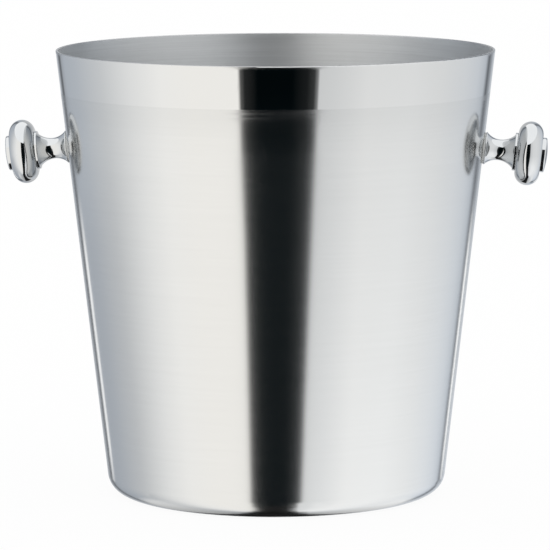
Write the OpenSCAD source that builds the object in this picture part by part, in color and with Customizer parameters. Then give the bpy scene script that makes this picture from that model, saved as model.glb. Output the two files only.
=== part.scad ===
// Champagne bucket with two knob handles.
//
// A deep-drawn, conical steel bucket stands on its own base. Each knob is a stack of turned
// pieces clamped through the wall: a threaded barrel with a domed button on its outer end runs
// in through the round grip and the waisted neck, and a screw comes out from inside the bucket
// to meet it. Silicone on both sides of the wall keeps the screw's hole watertight.
//
// Millimetres. The origin is the centre of the base, +Z is up and the knobs lie along X.

/* [Bucket] */
// Outer diameter of the cone at the height of the rim
rim_d = 200; // [180:1:220]
// Overall height
body_h = 203.3; // [185:0.1:225]
// Outer diameter that the cone would have at the table, without its rounded corner
foot_d = 153.4; // [140:0.2:165]
// Thickness of the drawn sheet
wall = 1; // [0.8:0.1:1.4]
// Outside radius of the corner between base and wall
corner_r = 9; // [6:0.5:12]

/* [Base] */
// Inner diameter of the flat ring that the bucket stands on
kick_d = 112; // [90:1:120]
// Height of the raised panel inside that ring
kick_h = 2; // [1.5:0.1:4]

/* [Knob] */
// Height at which the knob's axis meets the wall
knob_z = 158.3; // [120:0.1:165]
// Diameter of the round grip
grip_d = 29.1; // [24:0.1:34]
// Thickness of the round grip, whose edge is a full round
grip_w = 11.3; // [8:0.1:13]
// Distance from the wall to the grip, which the fingers reach behind
knob_reach = 15.1; // [14:0.1:20]
// Diameter of the neck's foot
land_d = 14.8; // [13:0.1:18]
// Thickness of the neck's foot
land_h = 0.7; // [0.7:0.1:2]
// Smallest diameter of the neck
waist_d = 9.4; // [9.2:0.1:11]
// Distance from the wall to the neck's smallest diameter
waist_s = 7; // [6:0.1:9]
// Diameter of the neck where it meets the collar
flare_d = 15.3; // [12:0.1:16]
// Diameter of the collar that backs the grip
collar_d = 17.3; // [17:0.1:20]
// Thickness of the collar
collar_h = 1.3; // [0.8:0.1:2]
// Diameter of the button on the knob's end
button_d = 15.8; // [12:0.1:18]
// Height of the whole button above the grip
button_h = 2.7; // [2:0.1:4]
// Height of the dome on the button's face
dome_h = 0.9; // [0.4:0.1:1.4]

/* [Fixing] */
// Diameter of the screw's thread
screw_d = 5; // [4:0.5:5]
// Length of the screw under its head
screw_l = 20; // [16:1:22]
// Outer diameter of the button's threaded barrel
barrel_d = 7; // [6.6:0.1:7.2]
// Length of the barrel under the button
barrel_l = 20; // [18:0.5:24]
// Thickness of the gasket between neck and wall
gasket_t = 0.5; // [0.4:0.1:0.8]
// Thickness of the seal inside the bucket
seal_t = 1.2; // [0.8:0.1:1.6]
// Diameter of the washer that presses on the seal
washer_d = 13; // [12:0.5:15]
// Thickness of the washer
washer_t = 1; // [0.8:0.1:1.2]

/* [Hidden] */
SIDES = ["left", "right"];
KNOB_PIECES = ["neck", "grip", "button", "gasket", "seal", "washer", "screw"];

$fn = 96;
cone_fn = 480;                 // the wide cone needs finer facets than the small turned pieces
through = 1;                   // overshoot of a cutting tool
edge_r = 0.3;                  // broken edges of the turned pieces
button_edge_r = 0.6;
bore_play = 0.1;               // radial play of the barrel in its bores
hole_play = 0.25;              // radial play of the screw in the wall
washer_play = 0.15;            // radial play of the screw in its washer
thread_play = 0.05;            // the thread and its tapped hole are both plain here

rim_r = rim_d / 2;
foot_r = foot_d / 2;
lean = atan((rim_r - foot_r) / body_h);
outwards = [cos(lean), -sin(lean)];           // square to the wall, in the (radius, height) plane
wall_across = wall / cos(lean);               // the wall's thickness measured level

corner_c = [foot_r - corner_r / tan((90 + lean) / 2), corner_r];
rim_edge_r = 0.35 * wall;                     // both edges of the rim are eased, with a flat between them
rim_end = (body_h - rim_edge_r - (wall - rim_edge_r) * sin(lean)) / cos(lean);  // slant height under the rounds
rim_c = [foot_r, 0] + rim_end * [sin(lean), cos(lean)] - wall / 2 * outwards;
rim_inside = rim_c - wall / 2 * outwards;

// The step of the base is two equal bends, which meet halfway up
bend_a = 45;
bend_r = kick_h / (2 * (1 - cos(bend_a)));    // radius of each bend at the middle of the sheet
low_bend = [kick_d / 2, wall / 2 + bend_r];
top_bend = low_bend - 2 * bend_r * [sin(bend_a), cos(bend_a)];

grip_end = knob_reach + grip_w;
bore_r = barrel_d / 2 + bore_play;
hole_r = screw_d / 2 + hole_play;
head_s = -(wall + seal_t + washer_t);         // underside of the screw's head

// Radius of the arc that starts out along a line and has left it by rise after a length run
function arc_r(rise, run) = (rise * rise + run * run) / (2 * rise);

// Everything inside the sheet's outer face (depth 0) or inside its inner face (depth = wall)
module enclosed(depth) {
    difference() {
        union() {
            polygon([
                [0, depth],
                [corner_c.x, depth],
                corner_c,
                corner_c + (corner_r - depth) * outwards,
                rim_c + (wall / 2 - depth) * outwards,
                rim_inside + [0, depth],
                [0, rim_inside.y + depth]
            ]);
            translate(corner_c) circle(corner_r - depth);
        }
        recess(depth);
    }
}

// The hollow under the base's raised panel, up to the outer or the inner face of the sheet
module recess(depth) {
    top_r = bend_r - wall / 2 + depth;
    difference() {
        union() {
            polygon([
                [0, -through],
                [low_bend.x, -through],
                [low_bend.x, depth],
                top_bend + top_r * [sin(bend_a), cos(bend_a)],
                top_bend + [0, top_r],
                [0, top_bend.y + top_r]
            ]);
            translate(top_bend) circle(top_r);
        }
        translate(low_bend) circle(bend_r + wall / 2 - depth);
    }
}

// The sheet's end above rim_c, cut square across, with both edges rounded
module rim_top() {
    flat = wall - 2 * rim_edge_r;
    translate(rim_c)
        rotate(-lean) {
            translate([-flat / 2, 0])
                square([flat, rim_edge_r]);
            for (x = [-flat / 2, flat / 2])
                translate([x, 0])
                    circle(rim_edge_r);
        }
}

module bucket_shell() {
    color("silver")
    difference() {
        rotate_extrude($fn = cone_fn) {
            difference() {
                enclosed(0);
                enclosed(wall);
            }
            rim_top();
        }
        for (side = SIDES)
            on_wall(side)
                translate([0, 0, -wall - through])
                    cylinder(r = hole_r, h = wall + 2 * through);
    }
}

// The bucket's outer cone as a solid, or the cone that lies inside it by inset
module cone(inset = 0) {
    cylinder(r1 = foot_r - inset, r2 = rim_r - inset, h = body_h, $fn = cone_fn);
}

// A knob's own frame: its origin is on the wall's outer face and its Z axis points straight out
module on_wall(side) {
    rotate([0, 0, side == "left" ? 180 : 0])
        translate([foot_r + knob_z * tan(lean), 0, knob_z])
            rotate([0, 90 + lean, 0])
                children();
}

module ring(outer_r, inner_r, h) {
    difference() {
        cylinder(r = outer_r, h = h);
        translate([0, 0, -through])
            cylinder(r = inner_r, h = h + 2 * through);
    }
}

// Outline of a bored disc from height s0 to s1, with both outer edges rounded
module disc_outline(outer_r, s0, s1) {
    translate([bore_r, s0])
        square([outer_r - edge_r - bore_r, s1 - s0]);
    translate([bore_r, s0 + edge_r])
        square([outer_r - bore_r, s1 - s0 - 2 * edge_r]);
    for (s = [s0 + edge_r, s1 - edge_r])
        translate([outer_r - edge_r, s])
            circle(edge_r);
}

// Outline of half the neck, which leaves the waist along the axis and has spread to end_r at end_s
module flare_outline(end_r, end_s) {
    curve_r = arc_r(end_r - waist_d / 2, end_s - waist_s);
    difference() {
        translate([bore_r, min(waist_s, end_s)])
            square([end_r - bore_r, abs(end_s - waist_s)]);
        translate([waist_d / 2 + curve_r, waist_s])
            circle(curve_r);
    }
}

// The spool between wall and grip: foot, waist and collar
module knob_neck() {
    land_s = gasket_t + land_h;
    collar_s = knob_reach - collar_h;
    color("gainsboro")
    rotate_extrude() {
        disc_outline(land_d / 2, gasket_t, land_s);
        flare_outline(land_d / 2 - edge_r, land_s);
        flare_outline(flare_d / 2, collar_s);
        disc_outline(collar_d / 2, collar_s, knob_reach);
    }
}

module knob_grip() {
    round_c = [grip_d / 2 - grip_w / 2, knob_reach + grip_w / 2];
    color("gainsboro")
    rotate_extrude() {
        translate([bore_r, knob_reach])
            square([round_c.x - bore_r, grip_w]);
        translate(round_c)
            circle(grip_w / 2);
    }
}

// The button closes the knob's end, and its barrel takes the screw
module knob_button() {
    barrel_s = grip_end - barrel_l;
    tapped_l = head_s + screw_l - barrel_s + 2;
    color("gainsboro")
    difference() {
        union() {
            translate([0, 0, grip_end])
                rotate_extrude()
                    button_outline();
            translate([0, 0, barrel_s])
                cylinder(d = barrel_d, h = barrel_l + edge_r);
        }
        translate([0, 0, barrel_s - through])
            cylinder(r = screw_d / 2 + thread_play, h = tapped_l + through);
    }
}

// A straight side under a shallow dome, with a round between them that is tangent to both
module button_outline() {
    button_r = button_d / 2;
    dome_r = arc_r(dome_h, button_r);
    dome_c = [0, button_h - dome_r];
    round_x = button_r - button_edge_r;
    round_c = [round_x, dome_c.y + sqrt(pow(dome_r - button_edge_r, 2) - pow(round_x, 2))];
    on_dome = dome_c + (round_c - dome_c) * dome_r / (dome_r - button_edge_r);
    difference() {
        intersection() {
            square([button_r, button_h + through]);
            translate(dome_c)
                circle(dome_r, $fn = cone_fn);
        }
        difference() {
            polygon([
                round_c,
                [button_r + through, round_c.y],
                [button_r + through, on_dome.y + through],
                [on_dome.x, on_dome.y + through],
                on_dome
            ]);
            translate(round_c)
                circle(button_edge_r);
        }
    }
}

// Fills the gap between the neck's flat foot and the cone
module knob_gasket(side) {
    color("lightgray")
    difference() {
        on_wall(side)
            translate([0, 0, -wall])
                ring(land_d / 2 - edge_r, hole_r, wall + gasket_t);
        cone();
    }
}

// Fills the gap between the flat washer and the inside of the cone
module knob_seal(side) {
    color("lightgray")
    intersection() {
        on_wall(side)
            translate([0, 0, -wall - seal_t])
                ring(washer_d / 2 - edge_r, hole_r, wall + seal_t);
        cone(wall_across);
    }
}

module knob_washer() {
    color("silver")
        translate([0, 0, head_s])
            ring(washer_d / 2, screw_d / 2 + washer_play, washer_t);
}

// Button-head screw with a hexagon socket, driven from inside the bucket
module knob_screw() {
    head_r = screw_d * 0.95;
    head_h = screw_d * 0.55;
    flat_r = head_r / 2;
    side_h = 0.6;
    round_r = arc_r(head_h - side_h, head_r - flat_r);
    socket_d = screw_d * 0.6 / cos(30);
    socket_h = head_h * 0.6;
    tip_h = screw_d / 10;
    color("silver")
    translate([0, 0, head_s]) {
        difference() {
            rotate([180, 0, 0])
                rotate_extrude() {
                    square([flat_r, head_h]);
                    intersection() {
                        square([head_r, head_h]);
                        translate([flat_r, head_h - round_r])
                            circle(round_r);
                    }
                }
            translate([0, 0, -head_h - through])
                cylinder(d = socket_d, h = socket_h + through, $fn = 6);
        }
        cylinder(d = screw_d, h = screw_l - tip_h);
        translate([0, 0, screw_l - tip_h])
            cylinder(d1 = screw_d, d2 = screw_d - 2 * tip_h, h = tip_h);
    }
}

bucket_shell();

for (side = SIDES) {
    on_wall(side) knob_neck();
    on_wall(side) knob_grip();
    on_wall(side) knob_button();
    knob_gasket(side);
    knob_seal(side);
    on_wall(side) knob_washer();
    on_wall(side) knob_screw();
}
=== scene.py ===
"""Looks of the champagne bucket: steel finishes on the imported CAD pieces, a pale floor and a plain studio."""

import math

import bpy
from mathutils import Euler, Matrix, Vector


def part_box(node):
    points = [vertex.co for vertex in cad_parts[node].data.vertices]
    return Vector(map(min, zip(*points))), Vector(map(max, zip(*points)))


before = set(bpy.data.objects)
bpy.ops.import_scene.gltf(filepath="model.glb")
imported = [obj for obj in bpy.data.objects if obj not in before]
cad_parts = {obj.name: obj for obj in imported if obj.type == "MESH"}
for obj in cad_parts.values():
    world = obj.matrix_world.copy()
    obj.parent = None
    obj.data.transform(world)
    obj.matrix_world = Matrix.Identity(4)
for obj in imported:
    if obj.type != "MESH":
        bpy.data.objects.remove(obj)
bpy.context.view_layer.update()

SIDES = ("left", "right")
RIM_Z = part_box("bucket_shell")[1].z      # height of the rim, in metres
BAND_H = 0.019                           # depth of the mirror-polished band under the rim
KNOB_Z = sum(corner.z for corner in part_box("left_knob_grip")) / 2    # height of the knobs' axis
BELT_H = 0.022                           # depth of the belt under the band, where the satin changes

# ---- Camera ----

CAMERA_AZIMUTH = math.radians(3.5)       # how far the camera stands round to the right of the front
CAMERA_DISTANCE = 1.821                  # from the bucket's axis, in metres
CAMERA_HEIGHT = 0.3428                   # above the table, in metres
CAMERA_TILT = math.radians(7.613)        # how far the camera looks down
CAMERA_PAN = math.radians(0.014)         # how far it looks past the axis, to the left
CAMERA_ROLL = math.radians(-0.142)
CAMERA_LENS = 262.2                      # in millimetres
SENSOR_WIDTH = 36                        # in millimetres


def make_camera():
    camera = bpy.data.objects.new("camera", bpy.data.cameras.new("camera"))
    bpy.context.scene.collection.objects.link(camera)
    sideways = CAMERA_DISTANCE * math.sin(CAMERA_AZIMUTH)
    away = CAMERA_DISTANCE * math.cos(CAMERA_AZIMUTH)
    place = Matrix.Translation((sideways, -away, CAMERA_HEIGHT))
    aim = Euler((math.pi / 2 - CAMERA_TILT, 0, CAMERA_AZIMUTH + CAMERA_PAN)).to_matrix()
    camera.matrix_world = place @ (aim @ Matrix.Rotation(CAMERA_ROLL, 3, "Z")).to_4x4()
    camera.data.sensor_width = SENSOR_WIDTH
    camera.data.lens = CAMERA_LENS
    bpy.context.scene.camera = camera


# ---- Node helpers ----

class Nodes:
    """A short way to write a node tree: each call makes one node and returns its output."""

    def __init__(self, tree):
        self.tree = tree
        tree.nodes.clear()

    def node(self, kind, inputs=None, **settings):
        made = self.tree.nodes.new(kind)
        for name, value in settings.items():
            setattr(made, name, value)
        for name, value in (inputs or {}).items():
            self.feed(made.inputs[name], value)
        return made

    def feed(self, socket, value):
        if isinstance(value, bpy.types.NodeSocket):
            self.tree.links.new(value, socket)
        else:
            socket.default_value = value

    def math(self, operation, *values):
        return self.node("ShaderNodeMath", dict(enumerate(values)), operation=operation).outputs[0]

    def vector(self, x, y, z):
        return self.node("ShaderNodeCombineXYZ", {"X": x, "Y": y, "Z": z}).outputs[0]

    def parts(self, vector):
        return self.node("ShaderNodeSeparateXYZ", {"Vector": vector}).outputs

    def remap(self, value, low, high, to_low=0.0, to_high=1.0, smooth=False):
        kind = "SMOOTHSTEP" if smooth else "LINEAR"
        wanted = {"Value": value, "From Min": low, "From Max": high, "To Min": to_low, "To Max": to_high}
        return self.node("ShaderNodeMapRange", wanted, interpolation_type=kind).outputs["Result"]

    def fade(self, value, start, end):
        """1 up to start, and down to 0 from end on."""
        return self.remap(value, start, end, 1.0, 0.0)

    def blend(self, share, low, high):
        """A number that goes from low to high as share goes from 0 to 1."""
        made = self.node("ShaderNodeMix", data_type="FLOAT")
        for socket, value in zip((made.inputs[0], made.inputs[2], made.inputs[3]), (share, low, high)):
            self.feed(socket, value)
        return made.outputs[0]

    def blend_colour(self, share, low, high):
        made = self.node("ShaderNodeMix", data_type="RGBA")
        for socket, value in zip((made.inputs[0], made.inputs[6], made.inputs[7]), (share, low, high)):
            self.feed(socket, value)
        return made.outputs[2]

    def ramp(self, value, stops):
        """stops are (position, colour) pairs, in order."""
        made = self.node("ShaderNodeValToRGB", {"Fac": value})
        points = made.color_ramp.elements
        while len(points) < len(stops):
            points.new(1.0)
        # A moved point can change the order of the points, so the colours come after all the places.
        for point, (place, _) in zip(points, stops):
            point.position = place
        for point, (_, colour) in zip(points, stops):
            point.color = colour
        return made.outputs["Color"]


def new_material(name):
    material = bpy.data.materials.new(name)
    material.use_nodes = True
    return material, Nodes(material.node_tree)


def grey(level, warmth=0.0):
    """A grey of that brightness, tinted towards yellow, or towards blue where warmth is below 0."""
    red_share = 0.7     # red rises by this much of what blue falls by
    return (level * (1 + red_share * warmth), level, level * (1 - warmth), 1)


def scaled(nodes, colour, amount):
    """The colour made brighter or darker by a number near 1."""
    return nodes.node("ShaderNodeVectorMath", {0: colour, 3: amount}, operation="SCALE").outputs[0]


# ---- Studio ----

# A round tent of white cards stands about the bucket, under a white ceiling, and leaves a dark gap on the
# camera's side. Azimuths are in degrees, as seen from the bucket: 0 is the camera's side, -90 its left.
CARDS = (
    (-180, grey(0.53)),
    (-156, grey(0.43, -0.08)),
    (-150, grey(0.22, -0.09)),
    (-146, grey(0.10, -0.09)),
    (-142, grey(0.34, -0.09)),
    (-136, grey(0.43, -0.10)),
    (-120, grey(0.50, -0.08)),
    (-96, grey(0.64, -0.02)),
    (-75, grey(0.83, 0.01)),
    (-57, grey(0.95, 0.03)),
    (-40, grey(0.96, 0.045)),
    (-10, grey(0.96, 0.045)),
    (20, grey(0.73)),
    (28, grey(0.77)),
    (45, grey(0.89, 0.01)),
    (70, grey(0.90, 0.005)),
    (90, grey(0.85)),
    (110, grey(0.78, -0.03)),
    (124, grey(0.69, -0.06)),
    (135, grey(0.54, -0.09)),
    (141, grey(0.13, -0.10)),
    (145, grey(0.25, -0.10)),
    (154, grey(0.49, -0.08)),
    (180, grey(0.53)),
)
TENT_R = 0.47                    # metres
TENT_TOP = 0.53                  # height of the ceiling
TENT_BOTTOM = -2.4
TENT_SIDES = 180
CARD_STRENGTH = 1.4              # light of a full white card

# The cards' levels change with height. A pair of heights, in metres, is where a change begins and ends.
FAR_LEFT = (-100, -70)           # azimuths over which the dimmer cards of the far left end
FAR_LEFT_HEIGHTS = (0.02, 0.08)
FAR_LEFT_LEVEL = 0.9
RIGHT_HEIGHTS = (-0.16, 0.10)
RIGHT_LEVELS = (1.11, 0.91)
SEAM_GLOWS = (-141, 145.5)       # white shows between the side cards and the back sheet, near table height
SEAM_WIDTHS = (1.8, 3.2)         # degrees off a seam where its glow begins to fade, and ends
SEAM_BOTTOM = (-0.12, -0.08)
SEAM_TOP = (0.03, 0.07)

GAP_LEFT = (16.2, 17.0)          # how far the dark gap reaches to the left, in degrees, at its two heights
GAP_LEFT_HEIGHTS = (0.0, 0.04)
GAP_RIGHT = (9.9, 20.7)          # how far it reaches to the right
GAP_RIGHT_HEIGHTS = (-0.5, 0.12)
GAP_HAZE = (                     # faint light in the gap, low and high
    (0.003, 0.0055, 0.0065, 1),
    (0.001, 0.0025, 0.003, 1),
)
HAZE_HEIGHTS = (0.03, 0.07)
GAP_REACH = 1.2                  # GAP_EDGES is looked up from -GAP_REACH to GAP_REACH
GAP_EDGES = (                    # darkness of the gap, from its left edge at -1 to its right edge at 1
    (-1.05, 0.0),
    (-1.00, 0.5),
    (-0.97, 0.88),
    (-0.85, 0.98),
    (-0.5, 1.0),
    (0.4, 1.0),
    (0.75, 0.985),
    (0.92, 0.94),
    (1.00, 0.66),
    (1.045, 0.0),
)

UNDER_HEIGHTS = (-0.4, -0.3)     # on the tent, the view far below ends and the cards begin

# Far below, the gap goes on to the back as a stripe. The measures there are parts of a direction that is one
# unit long, so they are sines of angles.
UNDER_GAP = (0.15, 0.22)         # half the stripe's width straight down, and far out
UNDER_STEEPNESS = (-0.95, -0.6)  # where those two widths hold
UNDER_MIDDLE = -0.015
UNDER_EDGE = 0.025               # half the width of the stripe's soft edge
UNDER_BLACK = grey(0.012)
SHADE_START = (-0.1, 0.25)       # from front to back, the object's shade begins and is full
SHADE_LEVELS = (0.35, 0.8)       # light in the shade, near the middle and out to both sides
SHADE_PLACES = (0.1, 0.6)        # distances off the middle where those two hold
SHADE_SIDES = (0.9, 1.15)        # that light is dimmer on the left and brighter on the right
SHADE_SIDE_PLACES = (-0.3, 0.3)
BELOW_TENT = grey(0.95)          # the white that shows in front, past the tent's open bottom

FLOOR_R = 6.0                    # metres
FLOOR_SIDES = 96
FLOOR_PAINT = grey(0.96)
FLOOR_GLOW = 0.93                # share of plain white in what the camera sees of the floor


def azimuth(nodes, vector):
    """The vector's azimuth in degrees, from 0 on the camera's side up to 180, positive to the right."""
    x, y, z = nodes.parts(vector)
    return nodes.math("DEGREES", nodes.math("ARCTAN2", x, nodes.math("MULTIPLY", y, -1.0)))


def under_light(nodes, direction, lit):
    """What shows far below: the colour lit in front, the object's shade behind, and the gap through both."""
    unit = nodes.node("ShaderNodeVectorMath", {0: direction}, operation="NORMALIZE").outputs[0]
    x, y, z = nodes.parts(unit)
    aside = nodes.math("ABSOLUTE", nodes.math("SUBTRACT", x, UNDER_MIDDLE))
    width = nodes.remap(z, *UNDER_STEEPNESS, *UNDER_GAP)
    beside = nodes.remap(nodes.math("SUBTRACT", aside, width), -UNDER_EDGE, UNDER_EDGE, smooth=True)
    side = nodes.remap(x, *SHADE_SIDE_PLACES, *SHADE_SIDES)
    shade = nodes.math("MULTIPLY", side, nodes.remap(aside, *SHADE_PLACES, *SHADE_LEVELS))
    shown = nodes.blend_colour(nodes.remap(y, *SHADE_START), lit, nodes.vector(shade, shade, shade))
    return nodes.blend_colour(beside, UNDER_BLACK, shown)


def make_world():
    """Plain white, apart from what the metal mirrors through the tent's open bottom."""
    world = bpy.data.worlds.new("studio")
    bpy.context.scene.world = world
    world.use_nodes = True
    nodes = Nodes(world.node_tree)
    direction = nodes.node("ShaderNodeTexCoord").outputs["Generated"]
    wanted = {"Vector": direction, "Angle": -CAMERA_AZIMUTH}
    turned = nodes.node("ShaderNodeVectorRotate", wanted, rotation_type="Z_AXIS").outputs[0]
    glossy = nodes.node("ShaderNodeLightPath").outputs["Is Glossy Ray"]
    seen = nodes.blend_colour(glossy, grey(1.0), under_light(nodes, turned, BELOW_TENT))
    background = nodes.node("ShaderNodeBackground", {"Color": seen})
    nodes.node("ShaderNodeOutputWorld", {"Surface": background.outputs[0]})


def card_light(nodes, turn, z):
    """The cards' levels by azimuth, a little brighter low on the right and dimmer low on the far left."""
    cards = nodes.ramp(nodes.remap(turn, -180, 180), [((a + 180) / 360, colour) for a, colour in CARDS])
    low_left = nodes.math("MULTIPLY", nodes.fade(turn, *FAR_LEFT), nodes.fade(z, *FAR_LEFT_HEIGHTS))
    left_level = nodes.blend(low_left, 1.0, FAR_LEFT_LEVEL)
    right_level = nodes.remap(z, *RIGHT_HEIGHTS, *RIGHT_LEVELS)
    level = nodes.blend(nodes.math("GREATER_THAN", turn, 0.0), left_level, right_level)
    lit = scaled(nodes, cards, level)
    seam_height = nodes.math("MULTIPLY", nodes.remap(z, *SEAM_BOTTOM), nodes.fade(z, *SEAM_TOP))
    for seam in SEAM_GLOWS:
        off = nodes.math("ABSOLUTE", nodes.math("SUBTRACT", turn, seam))
        near = nodes.math("MULTIPLY", nodes.fade(off, *SEAM_WIDTHS), seam_height)
        lit = nodes.blend_colour(near, lit, grey(1.0))
    return lit


def gap_share(nodes, turn, z):
    """1 in the dark gap and 0 on the cards."""
    left_edge = nodes.remap(z, *GAP_LEFT_HEIGHTS, *GAP_LEFT)
    right_edge = nodes.remap(z, *GAP_RIGHT_HEIGHTS, *GAP_RIGHT)
    edge = nodes.blend(nodes.math("GREATER_THAN", turn, 0.0), left_edge, right_edge)
    across = nodes.math("DIVIDE", turn, edge)
    stops = [((place + GAP_REACH) / (2 * GAP_REACH), grey(dark)) for place, dark in GAP_EDGES]
    return nodes.ramp(nodes.remap(across, -GAP_REACH, GAP_REACH), stops)


def tent_light():
    """What the metal mirrors all round: the cards, the gap between them, and the view far below."""
    material, nodes = new_material("tent")
    place = nodes.node("ShaderNodeTexCoord").outputs["Object"]
    turn, z = azimuth(nodes, place), nodes.parts(place)[2]
    haze = nodes.blend_colour(nodes.remap(z, *HAZE_HEIGHTS), *GAP_HAZE)
    cards = card_light(nodes, turn, z)
    round_about = nodes.blend_colour(gap_share(nodes, turn, z), cards, haze)
    low = nodes.fade(z, *UNDER_HEIGHTS)
    mirrored = nodes.blend_colour(low, round_about, under_light(nodes, place, cards))
    glow = nodes.node("ShaderNodeEmission", {"Color": mirrored, "Strength": CARD_STRENGTH}).outputs[0]
    nodes.node("ShaderNodeOutputMaterial", {"Surface": glow})
    return material


def ceiling_light():
    """The plain white over the tent."""
    material, nodes = new_material("ceiling")
    glow = nodes.node("ShaderNodeEmission", {"Strength": CARD_STRENGTH}).outputs[0]
    nodes.node("ShaderNodeOutputMaterial", {"Surface": glow})
    return material


def make_tent():
    """A tube with a lid that only mirrored rays see."""
    mesh = bpy.data.meshes.new("tent")
    corners, faces = [], []
    for i in range(TENT_SIDES):
        turn = i * math.tau / TENT_SIDES
        x, y = TENT_R * math.cos(turn), TENT_R * math.sin(turn)
        corners += [(x, y, TENT_BOTTOM), (x, y, TENT_TOP)]
        here, there = 2 * i, 2 * ((i + 1) % TENT_SIDES)
        faces.append((here, there, there + 1, here + 1))
    faces.append([2 * i + 1 for i in range(TENT_SIDES)])
    mesh.from_pydata(corners, [], faces)
    tent = bpy.data.objects.new("tent", mesh)
    bpy.context.scene.collection.objects.link(tent)
    tent.rotation_euler = (0, 0, CAMERA_AZIMUTH)
    tent.visible_camera = False
    tent.visible_diffuse = False
    tent.visible_transmission = False
    tent.visible_shadow = False
    mesh.materials.append(tent_light())
    mesh.materials.append(ceiling_light())
    mesh.polygons[-1].material_index = 1


def make_floor():
    """A round pale floor that shows the object's shadow, and that the metal doesn't mirror."""
    mesh = bpy.data.meshes.new("floor")
    turns = [i * math.tau / FLOOR_SIDES for i in range(FLOOR_SIDES)]
    corners = [(FLOOR_R * math.cos(turn), FLOOR_R * math.sin(turn), 0) for turn in turns]
    mesh.from_pydata(corners, [], [range(FLOOR_SIDES)])
    floor = bpy.data.objects.new("floor", mesh)
    bpy.context.scene.collection.objects.link(floor)
    floor.visible_glossy = False
    material, nodes = new_material("floor")
    paint = nodes.node("ShaderNodeBsdfDiffuse", {"Color": FLOOR_PAINT}).outputs[0]
    glow = nodes.node("ShaderNodeEmission").outputs[0]
    camera_ray = nodes.node("ShaderNodeLightPath").outputs["Is Camera Ray"]
    share = nodes.math("MULTIPLY", camera_ray, FLOOR_GLOW)
    mixed = nodes.node("ShaderNodeMixShader", {0: share, 1: paint, 2: glow}).outputs[0]
    nodes.node("ShaderNodeOutputMaterial", {"Surface": mixed})
    mesh.materials.append(material)


# ---- Materials ----

SATIN = (0.597, 0.607, 0.609, 1)
BELT = (0.564, 0.574, 0.576, 1)          # the satin close under the band, a little darker
POLISHED = (0.597, 0.607, 0.609, 1)
RIM_FLAT = (0.39, 0.40, 0.41, 1)
INSIDE = (0.515, 0.53, 0.54, 1)
KNOB = (0.565, 0.58, 0.59)
SCREW = (0.66, 0.66, 0.65)
SILICONE = (0.55, 0.56, 0.55)

SATIN_ROUGHNESS = (0.14, 0.165)
COARSE_ROUGHNESS = (0.0, 0.11)           # added in streaks in the coarse strip under the band
FINE_ROUGHNESS = -0.025                  # added in the belt
MIRROR_ROUGHNESS = (0.035, 0.05)
WORN_ROUGHNESS = 0.22                    # added right under the rim
RIM_ROUGHNESS = 0.25
INSIDE_ROUGHNESS = (0.37, 0.45)

# How far the colour and the relief follow the brushed lines.
OUTER_STREAKS = (0.98, 1.01)
INNER_STREAKS = (0.93, 1.07)
RELIEF = (0.01, 0.5)                     # outside and inside

# Depths on the wall, in metres. Each pair names where a change begins and where it is full.
BAND_EDGE = 0.0002                       # half the height of the change from satin to mirror
COARSE_STRIP = (0.0065, 0.0035)          # under the band
FINE_BELT = (BELT_H, 0.014)              # under the band
WORN_RIM = (0.0018, 0.0004)              # under the rim
RIM_TOP = 0.0002                         # what is no deeper than this under the rim is its flat top
RIM_EASE = 0.0003                        # the inner side begins below the rim's eased edge

# Nearly all of a noise's values lie in the first range, and most of them in the second.
NOISE_RANGE = (0.3, 0.7)
NOISE_CORE = (0.35, 0.65)


def finish_material(nodes, inputs):
    shader = nodes.node("ShaderNodeBsdfPrincipled", inputs)
    nodes.node("ShaderNodeOutputMaterial", {"Surface": shader.outputs[0]})


def object_place(nodes, height=0.0):
    """Coordinates in the object's own frame, with their zero raised to that height."""
    place = nodes.node("ShaderNodeTexCoord").outputs["Object"]
    return nodes.node("ShaderNodeVectorMath", {0: place, 1: (0, 0, height)}, operation="SUBTRACT").outputs[0]


def turned_lines(nodes, one, other, along, pitch, length):
    """Noise in lines round an axis: pitch is across the lines, in metres, and length along them, in radii.

    one and other are the place's coordinates square to the axis, and along is the one along it.
    """
    wanted = {0: nodes.vector(one, other, 0.0)}
    radius = nodes.node("ShaderNodeVectorMath", wanted, operation="LENGTH").outputs["Value"]
    reach = nodes.math("MULTIPLY", radius, length)
    round_axis = [nodes.math("DIVIDE", coordinate, reach) for coordinate in (one, other)]
    place = nodes.vector(*round_axis, nodes.math("DIVIDE", radius, pitch))
    shift = nodes.math("DIVIDE", along, pitch)
    wanted = {"Vector": place, "W": shift, "Scale": 1.0, "Detail": 3.0, "Roughness": 0.6}
    return nodes.node("ShaderNodeTexNoise", wanted, noise_dimensions="4D").outputs["Fac"]


def lines_round_z(nodes, pitch, length):
    """Lines round the bucket's axis."""
    x, y, z = nodes.parts(object_place(nodes))
    return turned_lines(nodes, x, y, z, pitch, length)


def lines_round_knob(nodes, pitch, length):
    """The same lines round the knobs' axis, which runs along X."""
    x, y, z = nodes.parts(object_place(nodes, KNOB_Z))
    return turned_lines(nodes, y, z, x, pitch, length)


def clouds(nodes, size, detail=3.0):
    """Soft noise in patches of about that size, in metres."""
    wanted = {"Vector": object_place(nodes), "Scale": 1 / size, "Detail": detail, "Roughness": 0.55}
    return nodes.node("ShaderNodeTexNoise", wanted).outputs["Fac"]


def hairlines(nodes, spacing, width):
    """1 on fine curved scratches, which come in patches, and 0 between them. Both sizes are in metres."""
    noise_middle = 0.5
    folds = clouds(nodes, size=spacing, detail=1.0)
    ridge = nodes.math("ABSOLUTE", nodes.math("SUBTRACT", folds, noise_middle))
    line = nodes.fade(ridge, 0.0, width / spacing)
    patch = nodes.remap(clouds(nodes, size=spacing * 0.6, detail=1.0), 0.52, 0.6)
    return nodes.math("MULTIPLY", line, patch)


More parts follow.
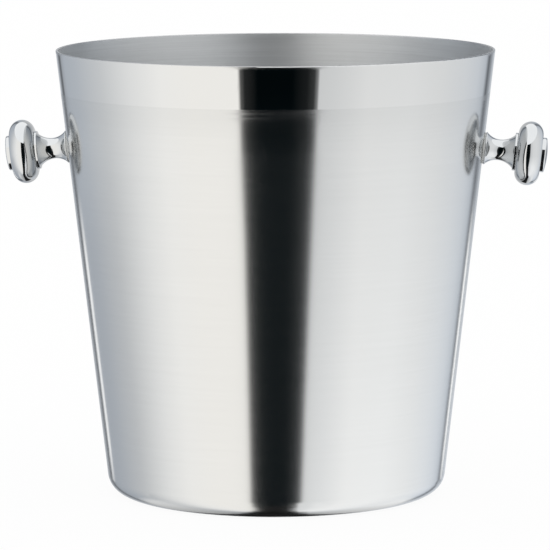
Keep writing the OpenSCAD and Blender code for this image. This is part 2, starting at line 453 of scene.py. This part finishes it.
def inside_share(nodes):
    """1 on the faces that look into the bucket, whose normals point up or inwards, and 0 on the others."""
    coordinates = nodes.node("ShaderNodeTexCoord").outputs
    x, y, z = nodes.parts(coordinates["Object"])
    away = nodes.node("ShaderNodeVectorMath", {0: nodes.vector(x, y, 0.0)}, operation="NORMALIZE").outputs[0]
    normal = coordinates["Normal"]
    outward = nodes.node("ShaderNodeVectorMath", {0: away, 1: normal}, operation="DOT_PRODUCT").outputs[1]
    inward = nodes.math("LESS_THAN", outward, nodes.parts(normal)[2])
    return nodes.math("MULTIPLY", inward, nodes.math("LESS_THAN", z, RIM_Z - RIM_EASE))


def outer_roughness(nodes, height, polished, lines, haze):
    """Satin with a belt under the band, and the mirror-polished band, which is worn hazy along the rim."""
    edge = RIM_Z - BAND_H
    strip = nodes.remap(height, edge - COARSE_STRIP[0], edge - COARSE_STRIP[1])
    coarser = nodes.math("MULTIPLY", strip, nodes.remap(lines, *NOISE_CORE, *COARSE_ROUGHNESS))
    finer = nodes.remap(height, edge - FINE_BELT[0], edge - FINE_BELT[1], 0.0, FINE_ROUGHNESS)
    brushed = nodes.remap(lines, *NOISE_RANGE, *SATIN_ROUGHNESS)
    satin = nodes.math("ADD", brushed, nodes.math("ADD", coarser, finer))
    worn = nodes.remap(height, RIM_Z - WORN_RIM[0], RIM_Z - WORN_RIM[1], 0.0, WORN_ROUGHNESS)
    mirror = nodes.math("ADD", nodes.remap(haze, *NOISE_CORE, *MIRROR_ROUGHNESS), worn)
    scratches = nodes.math("MULTIPLY", hairlines(nodes, spacing=0.03, width=0.0001), 0.06)
    return nodes.math("ADD", nodes.blend(polished, satin, mirror), scratches)


def bucket_colour(nodes, height, polished, rim, inside, lines, haze):
    """The steel's colour, a little streaked along its lines where it isn't polished."""
    edge = RIM_Z - BAND_H
    belt = nodes.remap(height, edge - BELT_H, edge, smooth=True)
    wall = nodes.blend_colour(polished, nodes.blend_colour(belt, SATIN, BELT), POLISHED)
    colour = nodes.blend_colour(inside, nodes.blend_colour(rim, wall, RIM_FLAT), INSIDE)
    clouded = nodes.math("MULTIPLY", haze, 0.01)
    outer_streaks = nodes.math("ADD", nodes.remap(lines, *NOISE_RANGE, *OUTER_STREAKS), clouded)
    inner_streaks = nodes.remap(lines, *NOISE_CORE, *INNER_STREAKS)
    streaks = nodes.blend(inside, nodes.blend(polished, outer_streaks, 1.0), inner_streaks)
    return scaled(nodes, colour, streaks)


def bucket_steel():
    """Satin steel, brushed round the axis, under a mirror-polished band, and duller inside and on the rim."""
    material, nodes = new_material("bucket_steel")
    height = nodes.parts(object_place(nodes))[2]
    edge = RIM_Z - BAND_H
    inside = inside_share(nodes)
    above_edge = nodes.remap(height, edge - BAND_EDGE, edge + BAND_EDGE)
    polished = nodes.math("MULTIPLY", above_edge, nodes.math("SUBTRACT", 1.0, inside))
    rim = nodes.math("GREATER_THAN", height, RIM_Z - RIM_TOP)
    fine = lines_round_z(nodes, pitch=0.0006, length=0.5)
    coarse = lines_round_z(nodes, pitch=0.003, length=0.8)
    lines = nodes.blend(0.35, fine, coarse)
    haze = clouds(nodes, size=0.02)

    outer = nodes.blend(rim, outer_roughness(nodes, height, polished, lines, haze), RIM_ROUGHNESS)
    dull = nodes.remap(lines, *NOISE_RANGE, *INSIDE_ROUGHNESS)
    relief = nodes.math("MULTIPLY", lines, nodes.math("SUBTRACT", 1.0, polished))
    strength = nodes.blend(inside, *RELIEF)
    bump = nodes.node("ShaderNodeBump", {"Height": relief, "Strength": strength, "Distance": 0.0001})
    tangent = nodes.node("ShaderNodeTangent", direction_type="RADIAL", axis="Z")
    finish_material(nodes, {
        "Base Color": bucket_colour(nodes, height, polished, rim, inside, lines, haze),
        "Metallic": 1.0,
        "Roughness": nodes.blend(inside, outer, dull),
        "Anisotropic": 0.4,
        "Anisotropic Rotation": 0.25,
        "Tangent": tangent.outputs[0],
        "Normal": bump.outputs[0],
    })
    return material


def knob_steel():
    """Bright polished steel, with the haze of handling and the last traces of the polishing wheel."""
    material, nodes = new_material("knob_steel")
    haze = clouds(nodes, size=0.006)
    traces = lines_round_knob(nodes, pitch=0.0004, length=0.6)
    scratches = hairlines(nodes, spacing=0.008, width=0.00005)
    wheel = nodes.remap(traces, *NOISE_RANGE)
    soft = nodes.remap(haze, *NOISE_CORE, 0.03, 0.055)
    polish = nodes.math("ADD", soft, nodes.math("MULTIPLY", wheel, 0.015))
    roughness = nodes.math("ADD", polish, nodes.math("MULTIPLY", scratches, 0.08))
    tone = nodes.math("ADD", nodes.remap(haze, *NOISE_RANGE, 0.975, 1.0), nodes.math("MULTIPLY", wheel, 0.02))
    bump = nodes.node("ShaderNodeBump", {"Height": traces, "Strength": 0.005, "Distance": 0.00005})
    finish_material(nodes, {
        "Base Color": scaled(nodes, KNOB, tone),
        "Metallic": 1.0,
        "Roughness": roughness,
        "Normal": bump.outputs[0],
    })
    return material


def screw_steel():
    """Plain turned steel: fine rings round the screw's axis, and a darker film in patches."""
    material, nodes = new_material("screw_steel")
    rings = lines_round_knob(nodes, pitch=0.00015, length=3.0)
    film = clouds(nodes, size=0.002)
    bump = nodes.node("ShaderNodeBump", {"Height": rings, "Strength": 0.3, "Distance": 0.00003})
    bright = nodes.remap(rings, *NOISE_RANGE, 0.9, 1.0)
    tone = nodes.math("ADD", bright, nodes.remap(film, *NOISE_RANGE, -0.06, 0.06))
    finish_material(nodes, {
        "Base Color": scaled(nodes, SCREW, tone),
        "Metallic": 1.0,
        "Roughness": nodes.remap(rings, *NOISE_RANGE, 0.24, 0.36),
        "Normal": bump.outputs[0],
    })
    return material


def gasket_silicone():
    """Matt silicone with a moulded grain, and faint mottling."""
    material, nodes = new_material("gasket_silicone")
    grain = clouds(nodes, size=0.0003, detail=2.0)
    mottle = clouds(nodes, size=0.003)
    bump = nodes.node("ShaderNodeBump", {"Height": grain, "Strength": 0.3, "Distance": 0.00005})
    finish_material(nodes, {
        "Base Color": scaled(nodes, SILICONE, nodes.remap(mottle, *NOISE_RANGE, 0.93, 1.05)),
        "Roughness": nodes.remap(grain, *NOISE_RANGE, 0.46, 0.6),
        "Normal": bump.outputs[0],
    })
    return material


def dress(names, material):
    """Gives those nodes the material, in place of what they have."""
    for name in names:
        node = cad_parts[name]
        node.data.materials.clear()
        node.data.materials.append(material)


make_camera()
make_world()
make_tent()
make_floor()
dress(["bucket_shell"], bucket_steel())
dress([f"{side}_knob_{piece}" for side in SIDES for piece in ("neck", "grip", "button")], knob_steel())
dress([f"{side}_knob_{piece}" for side in SIDES for piece in ("washer", "screw")], screw_steel())
dress([f"{side}_knob_{piece}" for side in SIDES for piece in ("gasket", "seal")], gasket_silicone())

bpy.context.scene.view_settings.view_transform = "Standard"
